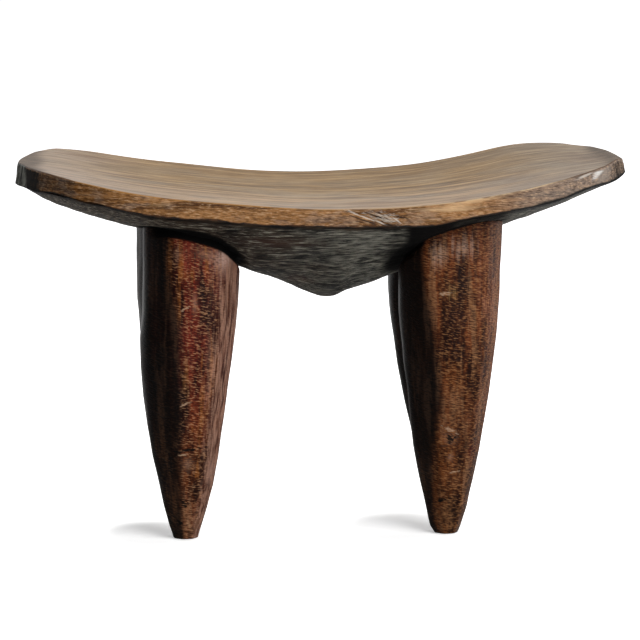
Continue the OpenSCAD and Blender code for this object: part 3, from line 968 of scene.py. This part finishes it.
def makeLegWood():
    wood = startMaterial("stainedHardwood")
    tint = oiledFinish
    place = addNode(wood, "ShaderNodeTexCoord").outputs["Object"]
    axes = addNode(wood, "ShaderNodeSeparateXYZ", None, {0: place}).outputs
    along, upwards = axes["X"], axes["Z"]
    sootAndShade, groove, rubbedAndSheen = (addNode(wood, "ShaderNodeAttribute", {"attribute_name": label}).outputs["Fac"]
                            for label in ("sootAndShade", "groove", "rubbedAndSheen"))
    # Maroon at the left, browner at the right and near the foot, in blots that have run down the leg
    blots = woodPattern(wood, place, (14, 14, 55), 4, 0.6)
    red = stained(wood, *tint["red"], blots, 0.38, 0.62)
    brown = stained(wood, *tint["brown"], blots, 0.38, 0.62)
    colour = stained(wood, red, brown, along, -0.09, 0.05, 0.8)
    colour = stained(wood, colour, brown, upwards, 0.16, 0.06, 0.75)
    runs = woodPattern(wood, place, (8, 8, 80), 5, 0.6)
    pale = stained(wood, tint["paleLeft"], tint["paleRight"], along, -0.07, 0.07)
    colour = stained(wood, colour, pale, runs, 0.52, 0.64, 0.56)
    colour = stained(wood, colour, tint["darkRuns"], runs, 0.48, 0.38, 0.5)
    # Pores run across the leg; they are drawn about three times real size, so that they show.
    dashes = woodPattern(wood, place, (3.8, 3.8, 0.9), 2, 0.5, 11)
    fibres = woodPattern(wood, place, (2.4, 2.4, 40), 4, 0.65)
    # Brown where hands took the stain off, with a painted sheen on the right side, and paler worn patches
    bareAndSheen = stained(wood, *tint["bareAndSheen"], fibres, 0.36, 0.62)
    colour = stained(wood, colour, bareAndSheen, rubbedAndSheen, 0.35, 1.1, 0.85, (blots, 0.8))
    for mark, stain, share in legCut["stains"]:
        colour = stained(wood, colour, stain, markAt(wood, place, mark, fibres), 0.0, 1.3, share)
    for mark in legCut["palePatches"]:
        colour = stained(wood, colour, tint["worn"], markAt(wood, place, mark, dashes), 0.0, 1.3, 0.55)
    calm = stained(wood, dashes, 0.5, rubbedAndSheen, 0, 1, 0.8)
    colour = stained(wood, colour, tint["pores"], calm, 0.5, 0.38, 0.62)
    # Light specks by the pores, partly painted glints where their edges catch the light
    bright = stained(wood, tint["brightLeft"], tint["brightRight"], along, -0.05, 0.05)
    colour = stained(wood, colour, bright, calm, 0.51, 0.67, 0.44)
    # Soot of hands and smoke with painted shade over the left side and in the stop cut, brown where it has
    # run thin
    sootyShade = stained(wood, *tint["sootyShade"], runs, 0.46, 0.66)
    sootyShade = stained(wood, sootyShade, tint["sootyShadePores"], dashes, 0.5, 0.38, 0.6)
    colour = stained(wood, colour, sootyShade, sootAndShade, 0.4, 1.15, 0.95, (blots, 0.8))
    for mark in legCut["lightScars"]:
        colour = stained(wood, colour, tint["lightScar"], markAt(wood, place, mark, dashes), 0.0, 0.9, 0.75)
    for mark in legCut["darkScars"]:
        colour = stained(wood, colour, tint["darkScar"], markAt(wood, place, mark, dashes), 0.0, 0.5, 0.95)
    # Soot and painted shade in the crease of the stop cut under the hull
    colour = stained(wood, colour, tint["groove"], groove, 0.2, 0.8)
    rough = stained(wood, *tint["rough"], blots, 0.3, 0.7)
    rough = stained(wood, rough, tint["sootRough"], groove, 0.0, 0.6)
    return finished(wood, colour, rough, dashes, tint["relief"], tint["gloss"])


dress(slab, makeSeatWood(), "seat")
dress(belly, makeUndersideWood(), "keel")
legWood = makeLegWood()
for name, piece in legPieces.items():
    dress(piece, legWood, legs[name]["node"])
print("materials laid on")


# Studio: a pale floor that stays white but for the shadow at the feet, and soft light from the right
studio = {
    "floorSize": 40,
    "floorLight": "#f3f3f3",
    "floorBounce": "#a8a8a8",
    "white": "#ffffff",
    # Own light of the floor at the feet; each shadow's place and where it thins out, in shares of its reach
    "floorLift": 0.4, "shadowShift": (-0.35, 0.2), "shadowThins": 0.5,
    # Floor as the polish shows it, bright to the rear: from where to where, and how bright
    "sweep": (0.15, 0.9, 0.8),
    # Background in the polish, bright to the rear in the same way, and its least light
    "rearGlow": (0.62, 0.97, 0.6), "leastGlow": 0.03,
    "ambient": 0.025,
    # Place, size and power of each lamp, and where all of them aim
    "lamps": {"keySoftbox": ((1.4, -2.0, 1.9), 2.4, 97), "fillSoftbox": ((2.2, 0.7, 1.1), 1.2, 14),
              "skySoftbox": ((0.1, 1.2, 2.2), 1.6, 14), "rearSoftbox": ((-1.5, 1.9, 1.3), 1.8, 14)},
    "lampAim": (0, 0, 0.15),
}


def raySorts(material):
    # Rays that see the studio plain white, by eye or through glass, and rays that a polish sends back
    rays = addNode(material, "ShaderNodeLightPath").outputs
    seen = addNode(material, "ShaderNodeMath", {"operation": "MAXIMUM"},
                   {0: rays["Is Camera Ray"], 1: rays["Is Transmission Ray"]})
    return seen.outputs[0], rays["Is Glossy Ray"]


freeHands()
bpy.ops.mesh.primitive_plane_add(size=studio["floorSize"], location=(0, 0, 0))
floor = bpy.context.object
floor.name = "studioFloor"
paper = startMaterial("palePaperFloor")
seen, polished = raySorts(paper)
matt = addNode(paper, "ShaderNodeBsdfDiffuse", None, {"Color": studio["floorLight"]})
dull = addNode(paper, "ShaderNodeBsdfDiffuse", None, {"Color": studio["floorBounce"]})
# The paper runs out to white away from the feet, so that only the shadows beside them are left.
spot = addNode(paper, "ShaderNodeTexCoord").outputs["Object"]
away = 1.0
for leg in legs.values():
    middle = middleAndHalf(leg, 0)[0]
    shiftX, shiftY = (share * leg["shadow"] for share in studio["shadowShift"])
    heel = ((middle + shiftX) * mm, (leg["depth"] + shiftY) * mm, 0)
    gap = addNode(paper, "ShaderNodeVectorMath", {"operation": "DISTANCE"}, {0: spot, 1: heel})
    gap = addNode(paper, "ShaderNodeMath", {"operation": "DIVIDE"},
                  {0: gap.outputs["Value"], 1: leg["shadow"] * mm})
    away = addNode(paper, "ShaderNodeMath", {"operation": "MINIMUM"}, {0: gap.outputs[0], 1: away}).outputs[0]
whiter = addNode(paper, "ShaderNodeMapRange", {"interpolation_type": "SMOOTHSTEP"}, {
    "Value": away, "From Min": studio["shadowThins"], "From Max": 1.0,
    "To Min": studio["floorLift"], "To Max": 1.0}).outputs[0]
lift = addNode(paper, "ShaderNodeEmission", None, {"Color": studio["white"], "Strength": whiter})
lifted = addNode(paper, "ShaderNodeAddShader", None, {0: matt.outputs[0], 1: lift.outputs[0]})
# In the polish the paper is bright only at the rear, where it sweeps up.
start, end, most = studio["sweep"]
depth = addNode(paper, "ShaderNodeSeparateXYZ", None, {0: spot}).outputs["Y"]
sweep = addNode(paper, "ShaderNodeMapRange", {"interpolation_type": "SMOOTHSTEP"}, {
    "Value": depth, "From Min": start, "From Max": end, "To Max": most}).outputs[0]
sweep = addNode(paper, "ShaderNodeMath", {"operation": "MULTIPLY"}, {0: sweep, 1: polished})
glow = addNode(paper, "ShaderNodeEmission", None, {"Color": studio["white"], "Strength": sweep.outputs[0]})
dull = addNode(paper, "ShaderNodeAddShader", None, {0: dull.outputs[0], 1: glow.outputs[0]})
paperSide = addNode(paper, "ShaderNodeMixShader", None,
                    {0: seen, 1: dull.outputs[0], 2: lifted.outputs[0]})
clear = addNode(paper, "ShaderNodeBsdfTransparent")
fromBelow = addNode(paper, "ShaderNodeNewGeometry").outputs["Backfacing"]
whole = addNode(paper, "ShaderNodeMixShader", None,
                {0: fromBelow, 1: paperSide.outputs[0], 2: clear.outputs[0]})
addNode(paper, "ShaderNodeOutputMaterial", None, {"Surface": whole.outputs[0]})
floor.data.materials.append(paper)

for name, (place, size, power) in studio["lamps"].items():
    freeHands()
    bpy.ops.object.light_add(type="AREA", location=place)
    lamp = bpy.context.object
    lamp.name = name
    lamp.data.shape = "DISK"
    lamp.data.size = size
    lamp.data.energy = power
    lamp.rotation_mode = "QUATERNION"
    lamp.rotation_quaternion = (Vector(studio["lampAim"]) - Vector(place)).to_track_quat("-Z", "Y")

world = bpy.data.worlds.new("whiteStudio")
bpy.context.scene.world = world
world.use_nodes = True
world.node_tree.nodes.clear()
seen, polished = raySorts(world)
start, end, most = studio["rearGlow"]
direction = addNode(world, "ShaderNodeTexCoord").outputs["Generated"]
towards = addNode(world, "ShaderNodeSeparateXYZ", None, {0: direction}).outputs["Y"]
rear = addNode(world, "ShaderNodeMapRange", {"interpolation_type": "SMOOTHSTEP"},
               {"Value": towards, "From Min": start, "From Max": end, "To Max": most}).outputs[0]
bright = addNode(world, "ShaderNodeMath", {"operation": "MAXIMUM"},
                 {0: rear, 1: studio["leastGlow"]}).outputs[0]
dim, shine, plain = (
    addNode(world, "ShaderNodeBackground", None, {"Color": studio["white"], "Strength": light}).outputs[0]
    for light in (studio["ambient"], bright, 1.0))
mixed = addNode(world, "ShaderNodeMixShader", None, {0: polished, 1: dim, 2: shine})
mixed = addNode(world, "ShaderNodeMixShader", None, {0: seen, 1: mixed.outputs[0], 2: plain})
addNode(world, "ShaderNodeOutputWorld", None, {"Surface": mixed.outputs[0]})
bpy.context.scene.view_settings.view_transform = "Standard"
print("studio set")
